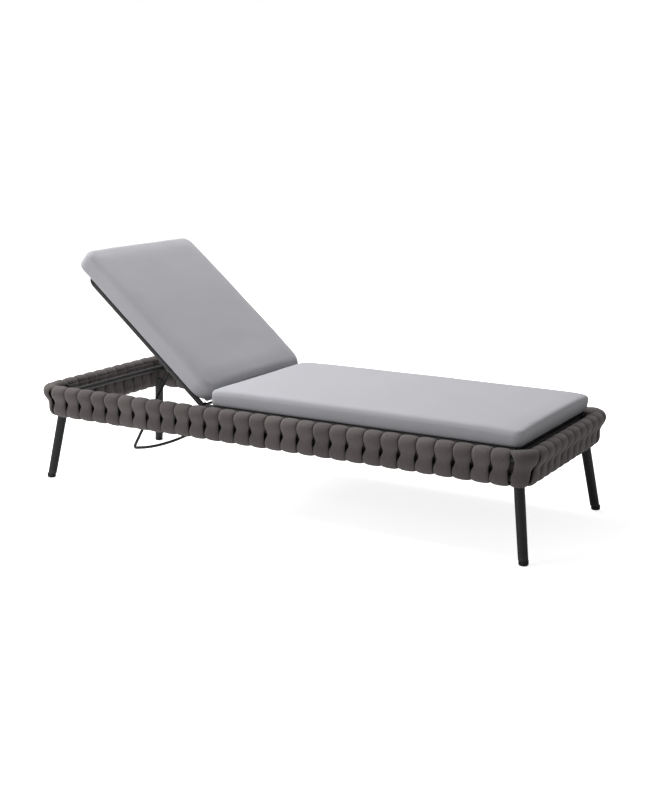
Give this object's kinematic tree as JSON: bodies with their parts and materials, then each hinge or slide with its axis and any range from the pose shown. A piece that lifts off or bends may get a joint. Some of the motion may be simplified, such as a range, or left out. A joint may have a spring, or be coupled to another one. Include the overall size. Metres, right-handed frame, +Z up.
{
  "type": "reclining sun lounger",
  "caption": "Low sun lounger with a belt-wound band on two rail loops, splayed legs, a slatted deck, a propped reclining backrest and two loose cushions.",
  "frame": {"origin": "on the floor under the middle of the band", "axes": "+X along the length towards the foot end, +Y across, +Z up"},
  "size_m": [2, 0.74, 0.87],
  "materials": {
    "frame_paint": "matt textured powder coat",
    "slat_aluminium": "matt powder coat",
    "belt_fabric": "padded knitted outdoor belt",
    "cushion_fabric": "plain woven outdoor fabric",
    "glide_rubber": "matt",
    "bush_plastic": "matt",
    "pin_steel": "satin"
  },
  "bodies": {
    "base": {"belts_corners": "belt_fabric", "belts_far": "belt_fabric", "belts_foot": "belt_fabric", "belts_head": "belt_fabric", "belts_near": "belt_fabric", "bottom_rail_elbows": "frame_paint", "bottom_rail_far": "frame_paint", "bottom_rail_foot": "frame_paint", "bottom_rail_head": "frame_paint", "bottom_rail_near": "frame_paint", "deck_bearer_far": "frame_paint", "deck_bearer_near": "frame_paint", "deck_crossbars": "frame_paint", "foot_glide_far_foot": "glide_rubber", "foot_glide_far_head": "glide_rubber", "foot_glide_near_foot": "glide_rubber", "foot_glide_near_head": "glide_rubber", "hinge_bolts": "pin_steel", "hinge_cheeks_far": "frame_paint", "hinge_cheeks_near": "frame_paint", "hinge_pin_far": "pin_steel", "hinge_pin_near": "pin_steel", "leg_far_foot": "frame_paint", "leg_far_head": "frame_paint", "leg_near_foot": "frame_paint", "leg_near_head": "frame_paint", "posts_far": "frame_paint", "posts_foot": "frame_paint", "posts_head": "frame_paint", "posts_near": "frame_paint", "prop_rack_far": "frame_paint", "prop_rack_near": "frame_paint", "rack_rivets": "pin_steel", "seat_cross_tubes": "frame_paint", "seat_cushion": "cushion_fabric", "seat_slats": "slat_aluminium", "seat_tube_far": "frame_paint", "seat_tube_near": "frame_paint", "top_rail_elbows": "frame_paint", "top_rail_far": "frame_paint", "top_rail_foot": "frame_paint", "top_rail_head": "frame_paint", "top_rail_near": "frame_paint"},
    "backrest": {"backrest_tube_near": "frame_paint", "backrest_tube_far": "frame_paint", "backrest_elbows": "frame_paint", "backrest_top_tube": "frame_paint", "backrest_prop_tube": "frame_paint", "backrest_slats": "slat_aluminium", "prop_lugs": "frame_paint", "prop_pins": "pin_steel", "prop_washers": "bush_plastic", "hinge_bushes": "bush_plastic", "back_cushion": "cushion_fabric"},
    "prop": {"prop_arm_near": "frame_paint", "prop_arm_far": "frame_paint", "prop_rest_bar": "frame_paint", "prop_grip": "frame_paint"}
  },
  "joints": [
    {"name": "backrest_recline", "type": "hinge", "parent": "base", "child": "backrest", "pos_m": [-0.268, 0, 0.3525], "axis": [0, 1, 0], "range_deg": [-39, 8]},
    {"name": "prop_swing", "type": "hinge", "parent": "backrest", "child": "prop", "pos_m": [-0.43587, 0, 0.46203], "axis": [0, 1, 0], "range_deg": [-20, 97.5]}
  ],
  "couplings": [
    {"joint": "prop_swing", "follows": "backrest_recline", "ratio": -2.5}
  ]
}
